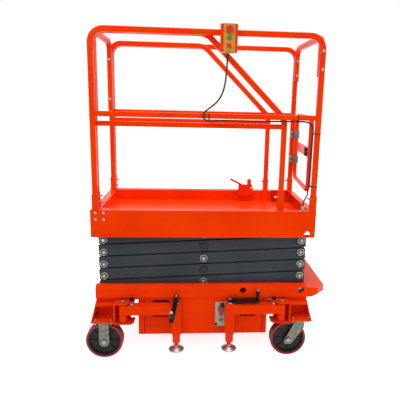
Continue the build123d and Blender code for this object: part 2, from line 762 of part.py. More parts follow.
def inner_arm(stage):
    parts = []
    for s in (-1, 1):
        y = s * innerArmY
        bar = mirror(arm_bar(y, []), about=Plane.YZ)
        eyes = [(-armHalf, pinOffset), (armHalf, -pinOffset)]
        if stage == 1:
            eyes = eyes[:1]
        if stage == stages:
            eyes = eyes[1:]
        for x, z in eyes:
            bar = bar - rod_y(x, y - armThick, y + armThick, z, shaftRadius + shaftFit)
        parts.append(bar)
        parts.append(rod_y(0, s * (innerArmY - armThick / 2), s * stubOutY, 0, shaftRadius))
        parts.append(rod_y(0, s * packHalfWidth, s * clipOutY, 0, clipRadius))
    for x in (-armHalf + crossTubeInset, armHalf - crossTubeInset):
        parts.append(rod_y(x, -crossTubeReach, crossTubeReach, 0, crossTubeRadius))
    if stage == 1:
        end = rollerY + rollerWidth
        parts.append(rod_y(armHalf, -end, end, -pinOffset, shaftRadius))
        for s in (-1, 1):
            parts.append(rod_y(armHalf, s * rollerY, s * end, -pinOffset, lowRollerRadius))
        parts.append(rod_y(barrelPinAlong, -crossTubeReach, crossTubeReach, 0, cylinderPinRadius))
    if stage == stages:
        parts.append(rod_y(-armHalf, -deckPinReach, deckPinReach, pinOffset, shaftRadius))
    return joined(parts)


def arm_place(stage, turn):
    return Pos(0, 0, levelZero + (stage - 0.5) * levelStep) * Rot(0, turn, 0)


for stage in range(1, stages + 1):
    save("scissor_outer_%d" % stage, arm_place(stage, -tilt) * outer_arm(stage))
    save("scissor_inner_%d" % stage, arm_place(stage, tilt) * inner_arm(stage))


# lift cylinder, between a cross pin on the first inner arm and one on the second
def inner_point(stage, along):
    a = math.radians(tilt)
    return Vector(along * math.cos(a), 0, levelZero + (stage - 0.5) * levelStep - along * math.sin(a))


barrelPin = inner_point(1, barrelPinAlong)
rodPin = inner_point(2, rodPinAlong)
reach = rodPin - barrelPin
lay = Plane(origin=barrelPin, x_dir=(0, 1, 0), z_dir=reach)
upright = (Align.CENTER, Align.CENTER, Align.MIN)
barrelLength = reach.length - barrelShorter
barrel = lay * Pos(0, 0, barrelStart) * Cylinder(barrelRadius, barrelLength, align=upright)
gland = lay * Pos(0, 0, barrelStart + barrelLength - glandLength) * Cylinder(glandRadius, glandLength, align=upright)
eye = rod_y(barrelPin.X, -barrelEyeHalf, barrelEyeHalf, barrelPin.Z, barrelEyeRadius)
barrel = joined([barrel, gland, eye])
barrel = barrel - rod_y(barrelPin.X, -crossTubeReach, crossTubeReach, barrelPin.Z, cylinderPinRadius + shaftFit)
boreStart = barrelStart + 2 * sideGap
bore = lay * Pos(0, 0, boreStart + sideGap) * Cylinder(rodRadius + shaftFit, reach.length, align=upright)
save("lift_barrel", barrel - bore)
rodBar = lay * Pos(0, 0, boreStart + 2 * sideGap) * Cylinder(rodRadius, reach.length - boreStart - 2 * sideGap,
                                                            align=upright)
rodEye = rod_y(rodPin.X, -rodEyeHalf, rodEyeHalf, rodPin.Z, rodEyeRadius)
rodPinReach = innerArmY - armThick / 2 - faceGap
crossPin = rod_y(rodPin.X, -rodPinReach, rodPinReach, rodPin.Z, cylinderPinRadius)
save("lift_rod", joined([rodBar, rodEye, crossPin]))


# main deck: a tray of folded boards over a floor, with the roller tracks and hinge lugs under it
def socket(x, y, z0):
    half = socketSize / 2
    return block(x - half, x + half, y - half, y + half, z0, socketTopZ)


def post_hole(x, y, z0):
    half = tubeSize / 2 + tubeFit
    return block(x - half, x + half, y - half, y + half, z0, socketTopZ + 1)


boardLeft = -halfLength - boardPast
board = block(boardLeft, halfLength, -halfWidth, -halfWidth + sheet, skirtBottom, boardTop)
flange = block(boardLeft, halfLength, -halfWidth, -halfWidth + boardLip, boardTop - sheet, boardTop)
lowTrack = block(boardLeft, halfLength, -halfWidth, -halfWidth + trackWidth, skirtBottom, skirtBottom + trackSheet)
topTrack = block(-halfLength + deckLugLength, halfLength - sheet, -rollerY - rollerWidth, -rollerY,
                 topLevel + topRollerRadius + trackGap - 0.5, mainFloorUnder + 0.5)
deckLug = block(-halfLength, -halfLength + deckLugLength, -lugY - lugThick, -lugY, skirtBottom, mainFloorUnder + 1)
deckLug = deckLug - rod_y(-pinX - deckX, -halfWidth + sheet, -lugY + 1, topLevel, shaftRadius + shaftFit)
side = joined([board, flange, lowTrack, deckLug])
floorMain = block(-halfLength, halfLength, -halfWidth + 1, halfWidth - 1, mainFloorUnder, mainFloorTop)
leftCross = block(-halfLength, -halfLength + sheet, -lugY - 1, lugY + 1, mainFloorUnder - 36, mainFloorUnder + 1)
endBoard = block(halfLength - sheet, halfLength, -halfWidth, halfWidth, skirtBottom, boardTop)
endFlange = block(halfLength - endLip, halfLength, -halfWidth, halfWidth, boardTop - sheet, boardTop)
sockets = []
holes = []
for sx in (-1, 1):
    for sy in (-1, 1):
        sockets.append(socket(sx * postX, sy * outerFrameY, boardTop))
        holes.append(post_hole(sx * postX, sy * outerFrameY, boardTop))
deck = joined([both_sides(side), floorMain, leftCross, endBoard, endFlange, *sockets]) - joined(holes)
deck = deck - rod_y(boardHoleX, -halfWidth - 1, -halfWidth + sheet + 1, boardHoleZ, boardHoleRadius)
save("main_deck", deck, deckX)


# guard rails
def end_hoop(x, frameY, endZ):
    y = frameY - tubeSize
    return bent([(x, -y, endZ), (x, -y, railTopZ), (x, y, railTopZ), (x, y, endZ)], [hoopBend, hoopBend], tubeSize)


def outer_frame(y):
    hoop = bent([(-postX, y, boardTop), (-postX, y, railTopZ), (postX, y, railTopZ), (postX, y, boardTop)],
                [bendRadius, bendRadius], tubeSize)
    return hoop + bar_x(-postX, postX, y, outerMidZ, midTube)


holderFace = -outerFrameY - tubeSize / 2
holderHalf = pendantWidth / 2 + holderRim
pendantFace = holderFace - holderSheet - pendantDepth
pendantTop = pendantBottom + pendantHeight
holder = block(pendantX - holderHalf, pendantX + holderHalf, pendantFace + holderShallower, holderFace, pendantBottom,
               pendantTop)
for s in (-1, 1):
    holder = fillet_upright(holder, pendantX + s * holderHalf, pendantFace + holderShallower, pendantCorner)
holder = holder - block(pendantX - pendantWidth / 2, pendantX + pendantWidth / 2, pendantFace - 1,
                        holderFace - holderSheet, pendantBottom - 1, pendantTop + 1)
gateStop = block(postX + tubeSize / 2 - stopSheet, postX + tubeSize / 2, -outerFrameY,
                 -outerFrameY + tubeSize / 2 + stopReach, gatePlateTop - gatePlateHeight / 2 - stopHeight / 2,
                 gatePlateTop - gatePlateHeight / 2 + stopHeight / 2)
rightHoop = end_hoop(postX, outerFrameY, rightHoopEnd)
save("main_guard_rails", joined([both_sides(outer_frame(-outerFrameY)), rightHoop, holder, gateStop]), deckX)

# gate: one bent loop, skewed so that it folds past the rails, with a flat plate for its latch
gateAcross = Vector(gateFrontX - gateBackX, -gateFrontY - gateBackY, 0)
gateWidth = gateAcross.length
gatePlane = Plane(origin=(gateBackX, gateBackY, 0), x_dir=gateAcross, z_dir=gateAcross.cross(Vector(0, 0, 1)))
loop = gatePlane * Pos(gateWidth / 2, (gateBottomZ + gateTopZ) / 2, 0) * RectangleRounded(
    gateWidth, gateTopZ - gateBottomZ, gateBend)
loop = loop.wire()
gate = sweep(Plane(origin=loop @ 0, z_dir=loop % 0) * Circle(gateTube / 2), path=loop)
gatePlate = block(0, gateWidth, gatePlateTop - gatePlateHeight, gatePlateTop, -gatePlateSheet / 2, gatePlateSheet / 2)
slotMiddle = gatePlateTop - gatePlateHeight / 2
gatePlate = gatePlate - Pos(slotAlong, slotMiddle, 0) * extrude(SlotOverall(slotLength, slotHeight),
                                                               amount=gatePlateSheet, both=True)
save("entry_gate", joined([gate, gatePlane * gatePlate]), deckX)
body = block(latchAlong, latchAlong + latchLength, slotMiddle - latchHeight / 2, slotMiddle + latchHeight / 2,
             gatePlateSheet / 2, gatePlateSheet / 2 + latchDepth)
boltRod = Pos(latchAlong + latchLength - 1, slotMiddle, gatePlateSheet / 2 + latchDepth / 2) * (
    Rot(0, 90, 0) * Cylinder(leverRadius, leverLength, align=upright))
save("gate_latch", gatePlane * joined([body, boltRod]), deckX)
hinges = []
for z in (hingeLowZ, hingeHighZ):
    low = z - hingeHeight / 2
    high = z + hingeHeight / 2
    collar = rod_z(gateBackX, gateBackY, low, high, collarRadius)
    leafY = outerFrameY - tubeSize / 2
    leaf = block(postX - tubeSize / 2, gateBackX, leafY - leafSheet, leafY, low, high)
    fill = block(gateBackX - 4, gateBackX + 4, gateBackY, leafY - 1, low, high)
    hinges.append(joined([collar, leaf, fill]) - rod_z(gateBackX, gateBackY, low - 1, high + 1, gateTube / 2 + shaftFit))
save("gate_hinges", Compound(children=hinges), deckX)

# roll-out deck: floor and toe boards inside the main deck, a folded end board outside it
extUnder = extFloorTop - trackSheet
endProfile = [(-extInner, extUnder), (-extInner, boardTop), (-extOut + extBevel, boardTop),
              (-extOut, boardTop - extBevel), (-extOut, extEndBottom), (-extOut + sheet, extEndBottom),
              (-extOut + sheet, boardTop - extBevel - sheet * 0.41), (-extOut + extBevel + sheet * 0.41, boardTop - sheet),
              (-extInner - extSheet, boardTop - sheet), (-extInner - extSheet, extUnder)]
extEnd = plate_y(endProfile, -extSideY - extSheet - extFlange, extSideY + extSheet + extFlange)
extFloor = block(-extInner - extSheet, extRight, -extSideY, extSideY, extUnder, extFloorTop)
extBoard = block(-extInner, extRight, -extSideY - extSheet, -extSideY, extUnder, boardTop)
extLip = block(-extInner, extRight, -extSideY - extSheet - extFlange, -extSideY, boardTop - sheet, boardTop)
runner = block(-extInner, extRight, -runnerY - runnerWidth / 2, -runnerY + runnerWidth / 2,
               mainFloorTop + trackGap, extUnder + 1)
cut = []
for sy in (-1, 1):
    for x in (-postX, innerPostX):
        cut.append(post_hole(x, sy * innerFrameY, extFloorTop))
rolloutSockets = [socket(x, sy * innerFrameY, extFloorTop) for x in (-postX, innerPostX) for sy in (-1, 1)]
extDeck = joined([extEnd, extFloor, both_sides(joined([extBoard, extLip, runner])), *rolloutSockets]) - joined(cut)
save("rollout_deck", extDeck, deckX)


def inner_frame(y):
    hoop = bent([(-postX, y, extFloorTop), (-postX, y, railTopZ), (diagonalTopX, y, railTopZ),
                 (innerPostX, y, diagonalFootZ), (innerPostX, y, extFloorTop)],
                [bendRadius, bendRadius * 1.4, bendRadius * 1.2], tubeSize)
    return hoop + bar_x(-postX, innerPostX, y, innerMidZ, midTube)


save("rollout_guard_rails", joined([both_sides(inner_frame(-innerFrameY)),
                                    end_hoop(-postX, innerFrameY, leftHoopEnd)]), deckX)

# deck latch: a saddle folded over the back toe board, with its lever, knob and pin
saddleFace = extSideY - saddleDepth / 2
saddleTop = boardTop + saddleRise
half = saddleLength / 2
front = block(saddleX - half, saddleX + half, saddleFace - saddleSheet, saddleFace, boardTop - saddleDrop, saddleTop)
topPlate = block(saddleX - half, saddleX + half, saddleFace - saddleSheet, extSideY + saddleSheet, boardTop, saddleTop)
behind = block(saddleX - half, saddleX + half, saddleFace - 1, extSideY, boardTop - saddleDrop,
               boardTop - saddleDrop + saddleSheet)
cheek = block(saddleX - half, saddleX + half - 2 * latchKnobRadius, saddleFace, saddleFace + latchLeverSize, saddleTop - 1,
              saddleTop + cheekHeight)
leverRoot = Pos(saddleX - half / 2, saddleFace + latchLeverSize / 2, saddleTop + cheekHeight - 4)
lever = leverRoot * Rot(0, latchLeverTilt, 0) * Pos(-latchLeverLength / 2 + 10, 0, 0) * Box(
    latchLeverLength, latchLeverSize, latchLeverSize)
knob = rod_z(saddleX + half - 1.6 * latchKnobRadius, saddleFace + latchKnobRadius, saddleTop - 1, latchKnobTop,
             latchKnobRadius)
pinFoot = (saddleX + half + 4, saddleFace + latchKnobRadius, saddleTop - 4)
pinHead = (saddleX + half - 8, saddleFace + latchKnobRadius, saddleTop + 30)
latch = joined([front, topPlate, behind, cheek, lever, knob, rod_between(pinFoot, pinHead, latchPinRadius)])
save("deck_latch", latch, deckX)

# pendant in its holder, and its cord along the rail and down the post to a plug on the deck's flange
pendant = block(pendantX - pendantWidth / 2 + tubeFit, pendantX + pendantWidth / 2 - tubeFit, pendantFace,
                holderFace - holderSheet, pendantBottom, pendantTop)
for s in (-1, 1):
    pendant = fillet_upright(pendant, pendantX + s * (pendantWidth / 2 - tubeFit), pendantFace, pendantCorner / 2)
pendantY = (pendantFace + holderFace - holderSheet) / 2
glandX = pendantX - cordGlandLeft
glandEnd = pendantBottom - cordGlandLength
gland = rod_z(glandX, pendantY, glandEnd, pendantBottom, cordGlandRadius)
middle = (pendantBottom + pendantTop) / 2
pendant = joined([pendant, gland,
                  rod_y(pendantX, pendantFace - mushroomDepth, pendantFace - mushroomDepth / 2, middle + 1.1 * buttonPitch,
                        mushroomRadius),
                  rod_y(pendantX, pendantFace - mushroomDepth / 2, pendantFace, middle + 1.1 * buttonPitch, buttonRadius),
                  rod_y(pendantX, pendantFace - buttonDepth, pendantFace, middle, buttonRadius),
                  rod_y(pendantX, pendantFace - buttonDepth, pendantFace, middle - 1.1 * buttonPitch, buttonRadius)])
save("control_pendant", pendant, deckX)

# the cord's route, in three short tables: below the gland, under the middle rail, and down beside the post
railUnder = outerMidZ - midTube / 2
postFace = postX - tubeSize / 2
plugX = postFace - 38.0
plugY = -outerFrameY + 3.0
plugTop = boardTop + plugLength
hangTable = ((0, 0, 0), (0, 0, -38), (-3, 1, -90), (-8, 3, -142), (-21, 6, -190), (-44, 9, -226), (-77, 12, -253))
turnTable = ((-19, -24, 30), (-23, -23, 5), (-6, -19, -13), (22, -12, -12), (66, -6, -8), (150, -4, -9),
             (262, -2, -10), (375, -1, -7), (460, 0, -6), (508, 0, -6))
downTable = ((-23, 0, -16), (-10, 0, -38), (-9, 0, -64), (-12, 0, -110), (-14, 0, -195), (-15, 0, -270),
             (-14, 1, -345), (-19, 2, -396), (-38, 3, -423))
route = []
for x, y, z in hangTable:
    route.append((glandX + x, pendantY + y, glandEnd + z))
for x, y, z in turnTable:
    route.append((x, -outerFrameY + y, railUnder + z))
for x, y, z in downTable:
    route.append((postFace + x, -outerFrameY + y, railUnder + z))
route.append((plugX, plugY, plugTop))


def cord_radii(points):
    radii = []
    for a, b, c in zip(points, points[1:], points[2:]):
        u = Vector(*b) - Vector(*a)
        v = Vector(*c) - Vector(*b)
        radii.append(0.45 * min(u.length, v.length) / math.tan(math.radians(u.get_angle(v)) / 2))
    return radii


radii = cord_radii(route)
path = FilletPolyline(*route, radius=radii)
start = Plane(origin=route[0], z_dir=Vector(*route[1]) - Vector(*route[0]))
cord = sweep(start * Circle(cordRadius), path=path)
save("pendant_cord", cord, deckX)
print("cord radii", [round(r) for r in radii], "length", round(path.length, 1), "volume over section times length",
      round(cord.volume / (math.pi * cordRadius ** 2 * path.length), 4))
save("cord_fittings", rod_z(plugX, plugY, boardTop, plugTop, plugRadius), deckX)
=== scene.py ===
import math
import bpy
import bmesh
from mathutils import Matrix, Vector


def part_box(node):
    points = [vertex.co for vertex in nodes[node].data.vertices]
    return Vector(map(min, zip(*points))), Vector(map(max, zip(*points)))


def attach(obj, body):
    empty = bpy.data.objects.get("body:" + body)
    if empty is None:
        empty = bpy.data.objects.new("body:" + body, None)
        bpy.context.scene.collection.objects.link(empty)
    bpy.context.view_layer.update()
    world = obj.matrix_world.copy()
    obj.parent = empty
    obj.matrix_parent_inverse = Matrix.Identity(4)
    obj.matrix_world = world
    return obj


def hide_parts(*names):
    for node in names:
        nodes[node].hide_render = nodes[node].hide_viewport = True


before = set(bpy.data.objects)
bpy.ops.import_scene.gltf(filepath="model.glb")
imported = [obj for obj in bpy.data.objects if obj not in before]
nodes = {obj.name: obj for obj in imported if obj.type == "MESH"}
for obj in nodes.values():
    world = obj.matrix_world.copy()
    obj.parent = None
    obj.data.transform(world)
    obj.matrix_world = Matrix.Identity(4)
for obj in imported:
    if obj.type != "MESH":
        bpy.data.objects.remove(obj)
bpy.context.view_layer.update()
print("frame loaded:", len(nodes), "parts")

# ---- camera first, then the cord, then finishes and small hardware
# metres and degrees; the lens and its shift are shares of the frame's width
camera = {"x": -0.09235, "y": -2.521, "z": 1.3837, "yaw": 4.092, "pitch": 11.453, "roll": 1.389,
          "filmMm": 36.0, "lensShare": 1.09745, "shiftX": -0.05425, "shiftY": -0.0195}


def placeCamera(c):
    yaw, pitch, roll = (math.radians(c[k]) for k in ("yaw", "pitch", "roll"))
    ahead = Vector((math.sin(yaw) * math.cos(pitch), math.cos(yaw) * math.cos(pitch), -math.sin(pitch)))
    right = Vector((math.cos(yaw), -math.sin(yaw), 0))
    up = right.cross(ahead)
    rightRolled = math.cos(roll) * right + math.sin(roll) * up
    upRolled = -math.sin(roll) * right + math.cos(roll) * up
    data = bpy.data.cameras.new("viewCamera")
    data.lens = c["filmMm"] * c["lensShare"]
    data.shift_x = c["shiftX"]
    data.shift_y = c["shiftY"]
    view = bpy.data.objects.new("viewCamera", data)
    bpy.context.collection.objects.link(view)
    turn = Matrix((rightRolled, upRolled, -ahead)).transposed().to_4x4()
    view.matrix_world = Matrix.Translation((c["x"], c["y"], c["z"])) @ turn
    bpy.context.scene.camera = view


placeCamera(camera)
bpy.context.scene.view_settings.view_transform = "Standard"


def middleX(name):  # where a part's own drawing has x = 0
    low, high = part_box(name)
    return (low[0] + high[0]) / 2


packMiddle = middleX("scissor_outer_1")
deckMiddle = middleX("main_guard_rails")


def onPack(x, y, z):  # millimetres about the middle of the arms
    return Vector((packMiddle + x / 1000, y / 1000, z / 1000))


def onDeck(x, y, z):  # millimetres about the middle of the main deck
    return Vector((deckMiddle + x / 1000, y / 1000, z / 1000))


def linear(hexColour):  # sRGB hex to the linear values that a shader takes
    parts = [int(hexColour[i:i + 2], 16) / 255 for i in (1, 3, 5)]
    return [p / 12.92 if p <= 0.04045 else ((p + 0.055) / 1.055) ** 2.4 for p in parts] + [1.0]


def addNode(tree, kind, inputs=None, **settings):
    # one node with its settings, and its inputs as values or links
    node = tree.nodes.new(kind)
    for name, value in settings.items():
        setattr(node, name, value)
    for name, value in (inputs or {}).items():
        if isinstance(value, bpy.types.NodeSocket):
            tree.links.new(value, node.inputs[name])
        else:
            node.inputs[name].default_value = value
    return node


def sums(tree, operation, first, second=None):
    # the result of one step of arithmetic on values or links
    inputs = {0: first} if second is None else {0: first, 1: second}
    return addNode(tree, "ShaderNodeMath", inputs, operation=operation).outputs[0]


def spreadTo(tree, value, low, high):
    # a factor from 0 to 1 turned into a value between two others
    between = addNode(tree, "ShaderNodeMapRange", {"Value": value, "To Min": low, "To Max": high})
    return between.outputs["Result"]


def newMaterial(name, metallic, roughness, sheen=0.5):
    material = bpy.data.materials.new(name)
    material.use_nodes = True
    tree = material.node_tree
    shader = next(n for n in tree.nodes if n.type == "BSDF_PRINCIPLED")
    shader.inputs["Metallic"].default_value = metallic
    shader.inputs["Roughness"].default_value = roughness
    shader.inputs["Specular IOR Level"].default_value = sheen
    place = addNode(tree, "ShaderNodeTexCoord")
    return material, tree, shader, place


def grainOn(tree, shader, place, grainMm, depthMm, strength, stretch=(1, 1, 1), detail=2.0):
    # a fine relief in the surface, its size in millimetres
    size = addNode(tree, "ShaderNodeMapping", {"Vector": place.outputs["Object"], "Scale": stretch})
    noise = addNode(tree, "ShaderNodeTexNoise", {"Vector": size.outputs[0], "Scale": 1000 / grainMm,
                                                 "Detail": detail})
    bump = addNode(tree, "ShaderNodeBump", {"Height": noise.outputs["Fac"], "Strength": strength,
                                            "Distance": depthMm / 1000})
    tree.links.new(bump.outputs["Normal"], shader.inputs["Normal"])


def cloudOf(tree, place, sizeMm, low, high, detail=4.0):
    # soft patches from 0 to 1
    noise = addNode(tree, "ShaderNodeTexNoise", {"Vector": place.outputs["Object"], "Scale": 1000 / sizeMm,
                                                 "Detail": detail})
    patches = addNode(tree, "ShaderNodeMapRange", {"Value": noise.outputs["Fac"], "From Min": low,
                                                   "From Max": high})
    return patches.outputs["Result"]


def tintBetween(tree, factor, first, second):
    inputs = {0: factor}
    for socket, value in ((6, first), (7, second)):
        inputs[socket] = linear(value) if isinstance(value, str) else value
    return addNode(tree, "ShaderNodeMix", inputs, data_type="RGBA").outputs[2]


def alongAxis(tree, place, axis, kind="Object"):
    # one coordinate of the place, or of its normal
    split = addNode(tree, "ShaderNodeSeparateXYZ", {"Vector": place.outputs[kind]})
    return split.outputs[axis]


coatPatches = (260, 0.40, 0.70)  # size in millimetres, and where the patches begin and end
mouldPatches = (60, 0.38, 0.70)
zincSpangle = (14.0, 0.36, 0.66, 5.0)  # the same, with how finely the crystals break up
orangePeel = (2.2, 0.25)  # width and depth of the skin's ripples in millimetres
orange = ("#F03C04", "#E43203")  # each coat's colour and the duller shade of its patches
slate = ("#3B4045", "#33383D")


def powderCoat(name, colour, shade, roughness):
    # baked powder coat on steel: an even colour under a faint orange-peel skin, duller in soft patches
    material, tree, shader, place = newMaterial(name, 0.0, roughness, 0.3)
    shader.inputs["Specular Tint"].default_value = linear(colour)
    patch = cloudOf(tree, place, *coatPatches)
    tree.links.new(tintBetween(tree, patch, colour, shade), shader.inputs["Base Color"])
    grainOn(tree, shader, place, *orangePeel, 0.12)
    tree.links.new(spreadTo(tree, patch, roughness - 0.04, roughness + 0.07), shader.inputs["Roughness"])
    return material


def platedSteel(name, bright, dull, roughness, patchMm=14.0):
    # zinc plate straight from the barrel: grey metal with cloudy crystals and fine scuffs
    material, tree, shader, place = newMaterial(name, 0.85, roughness)
    patch = cloudOf(tree, place, patchMm, 0.36, 0.66, 5.0)
    tree.links.new(tintBetween(tree, patch, bright, dull), shader.inputs["Base Color"])
    tree.links.new(spreadTo(tree, patch, roughness - 0.08, roughness + 0.12), shader.inputs["Roughness"])
    grainOn(tree, shader, place, 0.9, 0.06, 0.25, (1, 1, 8))
    return material


def mouldedPlastic(name, colour, shade, roughness, grainMm=0.8, strength=0.2):
    # moulded plastic or rubber: one colour right through, with a fine spark-eroded grain
    material, tree, shader, place = newMaterial(name, 0.0, roughness, 0.25)
    patch = cloudOf(tree, place, *mouldPatches)
    tree.links.new(tintBetween(tree, patch, colour, shade), shader.inputs["Base Color"])
    grainOn(tree, shader, place, grainMm, 0.08, strength)
    return material


orangeCoat = powderCoat("orangePowderCoat", *orange, 0.33)
slateCoat = powderCoat("slatePowderCoat", *slate, 0.46)
zinc = platedSteel("barrelZinc", "#A9A8A0", "#85857D", 0.36)
casterZinc = platedSteel("passivatedZinc", "#74766A", "#5F6156", 0.45, 22.0)
blackNylon = mouldedPlastic("blackNylon", "#151413", "#0D0C0C", 0.5)
blackSteel = powderCoat("blackPowderCoat", "#1B1A1C", "#121214", 0.4)
redSleeve = mouldedPlastic("redVinylSleeve", "#D21428", "#B81020", 0.35)
castGrey = mouldedPlastic("sandCastIron", "#857A72", "#6A605A", 0.6, 1.6, 0.5)
cordRubber = mouldedPlastic("cordRubber", "#26262A", "#1B1B1E", 0.55)
paleNylon = mouldedPlastic("paleNylon", "#B9A89A", "#A59486", 0.5)
holeBlack = mouldedPlastic("blackGrommet", "#141010", "#0C0A0A", 0.6)


def armFinish(barFace):
    # slate powder coat on the bars, and bare zinc on the shaft ends that stand out past the bars' faces
    material, tree, shader, place = newMaterial("slateCoatZincPins", 0.0, 0.46, 0.1)
    width = sums(tree, "ABSOLUTE", alongAxis(tree, place, "Y"))
    outside = sums(tree, "GREATER_THAN", width, barFace)
    coat = tintBetween(tree, cloudOf(tree, place, *coatPatches), *slate)
    metal = tintBetween(tree, cloudOf(tree, place, *zincSpangle), "#AFAEA6", "#8A8A82")
    tree.links.new(tintBetween(tree, outside, coat, metal), shader.inputs["Base Color"])
    tree.links.new(outside, shader.inputs["Metallic"])
    tree.links.new(spreadTo(tree, outside, 0.46, 0.34), shader.inputs["Roughness"])
    grainOn(tree, shader, place, *orangePeel, 0.12)
    return material


def tyreFinish():
    # cast polyurethane: glossy red on its sides, and a tread rubbed grey-brown by the floor
    material, tree, shader, place = newMaterial("castPolyurethane", 0.0, 0.4, 0.3)
    side = sums(tree, "ABSOLUTE", alongAxis(tree, place, "Y", "Normal"))
    tread = addNode(tree, "ShaderNodeMapRange", {"Value": side, "From Min": 0.55, "From Max": 0.2})
    dust = cloudOf(tree, place, 35, 0.30, 0.70)
    red = tintBetween(tree, dust, "#B01220", "#941019")
    worn = tintBetween(tree, dust, "#5C4643", "#4A3635")
    tree.links.new(tintBetween(tree, tread.outputs["Result"], red, worn), shader.inputs["Base Color"])
    tree.links.new(spreadTo(tree, tread.outputs["Result"], 0.35, 0.6), shader.inputs["Roughness"])
    grainOn(tree, shader, place, 1.5, 0.1, 0.2)
    return material


def jackFinish(footTop):
    # orange coat on the jack's tube, and bright polished steel on the foot under it
    material, tree, shader, place = newMaterial("orangeCoatPolishedFoot", 0.0, 0.33, 0.1)
    above = sums(tree, "GREATER_THAN", alongAxis(tree, place, "Z"), footTop)
    coat = tintBetween(tree, cloudOf(tree, place, *coatPatches), *orange)
    tree.links.new(tintBetween(tree, above, "#A9ABAE", coat), shader.inputs["Base Color"])
    tree.links.new(sums(tree, "SUBTRACT", 1.0, above), shader.inputs["Metallic"])
    tree.links.new(spreadTo(tree, above, 0.36, 0.35), shader.inputs["Roughness"])
    grainOn(tree, shader, place, *orangePeel, 0.08)
    return material


def switchFinish(name, case, caseShade, faceY, steps):
    # a moulded case whose buttons, proud of its face, are each dyed their own colour
    # steps are (height, colour) from the lowest button up
    material, tree, shader, place = newMaterial(name, 0.0, 0.38)
    justProud = 0.0004
    proud = sums(tree, "LESS_THAN", alongAxis(tree, place, "Y"), faceY - justProud)
    colour = steps[0][1]
    for height, nextColour in steps[1:]:
        over = sums(tree, "GREATER_THAN", alongAxis(tree, place, "Z"), height)
        colour = tintBetween(tree, over, colour, nextColour)
    shell = tintBetween(tree, cloudOf(tree, place, *mouldPatches), case, caseShade)
    tree.links.new(tintBetween(tree, proud, shell, colour), shader.inputs["Base Color"])
    grainOn(tree, shader, place, 0.8, 0.08, 0.15)
    return material


controlsLow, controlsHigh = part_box("ground_controls")
pendantLow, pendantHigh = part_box("control_pendant")
switches = {"panelThick": 0.008, "panelHalfPitch": 0.0165,
            "pendantButtons": 0.020, "pendantHalfPitch": 0.018, "glandLength": 0.008}
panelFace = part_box("power_housing")[0][1] - switches["panelThick"]
pendantFace = pendantLow[1] + switches["pendantButtons"]
panelMiddle = (controlsLow[2] + controlsHigh[2]) / 2
pendantMiddle = (pendantLow[2] + switches["glandLength"] + pendantHigh[2]) / 2
panelFinish = switchFinish("paleAbsPanel", "#B7A58F", "#A08F7B", panelFace,
                           [(0, "#0E7A1E"), (panelMiddle - switches["panelHalfPitch"], "#B00A20"),
                            (panelMiddle + switches["panelHalfPitch"], "#7A1020")])
pendantFinish = switchFinish("ochreAbsPendant", "#C88A1C", "#B47A14", pendantFace,
                             [(0, "#C01018"), (pendantMiddle - switches["pendantHalfPitch"], "#1E8030"),
                              (pendantMiddle + switches["pendantHalfPitch"], "#C01018")])
pinnedArm = armFinish(0.2512)
redTyre = tyreFinish()
jackCoat = jackFinish(0.084)
finishes = (("tyre_", redTyre), ("hub_", blackNylon), ("swivel_", casterZinc), ("caster_", casterZinc),
            ("outrigger_fittings", blackSteel), ("jack_", jackCoat), ("scissor_inner_2", slateCoat),
            ("scissor_inner_4", slateCoat), ("scissor_", pinnedArm), ("lift_barrel", slateCoat), ("lift_rod", zinc),
            ("gate_hinges", castGrey), ("gate_latch", blackNylon), ("control_pendant", pendantFinish),
            ("ground_controls", panelFinish), ("cord_fittings", paleNylon), ("pendant_cord", cordRubber))
for name, node in nodes.items():
    finish = next((m for start, m in finishes if name.startswith(start)), orangeCoat)
    for slot in node.material_slots:
        slot.material = finish
print("finishes on", len(nodes), "parts")

# ---- the pendant's cord: out of its gland, along under the middle rail, down the post to a plug on the deck
glandLow = pendantLow[2] * 1000
cordRoute = {"start": (90.0, -326.0, glandLow), "diameter": 8.0,
             "hang": ((0, 0, 0), (0, 0, -38), (-3, 1, -90), (-8, 3, -142), (-21, 6, -190),
                      (-44, 9, -226), (-77, 12, -253)),
             "rail": ((-19, -311, 1337), (-23, -310, 1312), (-6, -306, 1294), (22, -299, 1295),
                      (66, -293, 1299), (150, -291, 1298), (262, -289, 1297), (375, -288, 1300),
                      (460, -287, 1301), (508, -287, 1301)),
             "post": ((530, -287, 1291), (543, -287, 1269), (544, -287, 1243), (541, -287, 1197),
                      (539, -287, 1112), (538, -287, 1037), (539, -286, 962), (534, -285, 911),
                      (515, -284, 884), (515, -284, 858.5))}


def makeCord(c):
    points = [[c["start"][i] + step[i] for i in range(3)] for step in c["hang"]]
    points += list(c["rail"]) + list(c["post"])
    curve = bpy.data.curves.new("pendantLead", "CURVE")
    curve.dimensions = "3D"
    spline = curve.splines.new("NURBS")
    spline.points.add(len(points) - 1)
    for point, place in zip(spline.points, points):
        point.co = (*onDeck(*place), 1.0)
    spline.order_u = 3
    spline.use_endpoint_u = True
    curve.bevel_depth = c["diameter"] / 2000
    curve.bevel_resolution = 4
    curve.use_fill_caps = True
    curve.materials.append(cordRubber)
    cord = bpy.data.objects.new("pendantLead", curve)
    bpy.context.collection.objects.link(cord)
    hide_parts("pendant_cord")
    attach(cord, "deck")


makeCord(cordRoute)


# ---- small hardware, spread over tables of places by geometry nodes
def bareTree(name, sizes):
    tree = bpy.data.node_groups.new(name, "GeometryNodeTree")
    tree.interface.new_socket("Geometry", in_out="INPUT", socket_type="NodeSocketGeometry")
    for size in sizes:
        tree.interface.new_socket(size, in_out="INPUT", socket_type="NodeSocketFloat")
    tree.interface.new_socket("Geometry", in_out="OUTPUT", socket_type="NodeSocketGeometry")
    return tree, addNode(tree, "NodeGroupInput"), addNode(tree, "NodeGroupOutput")


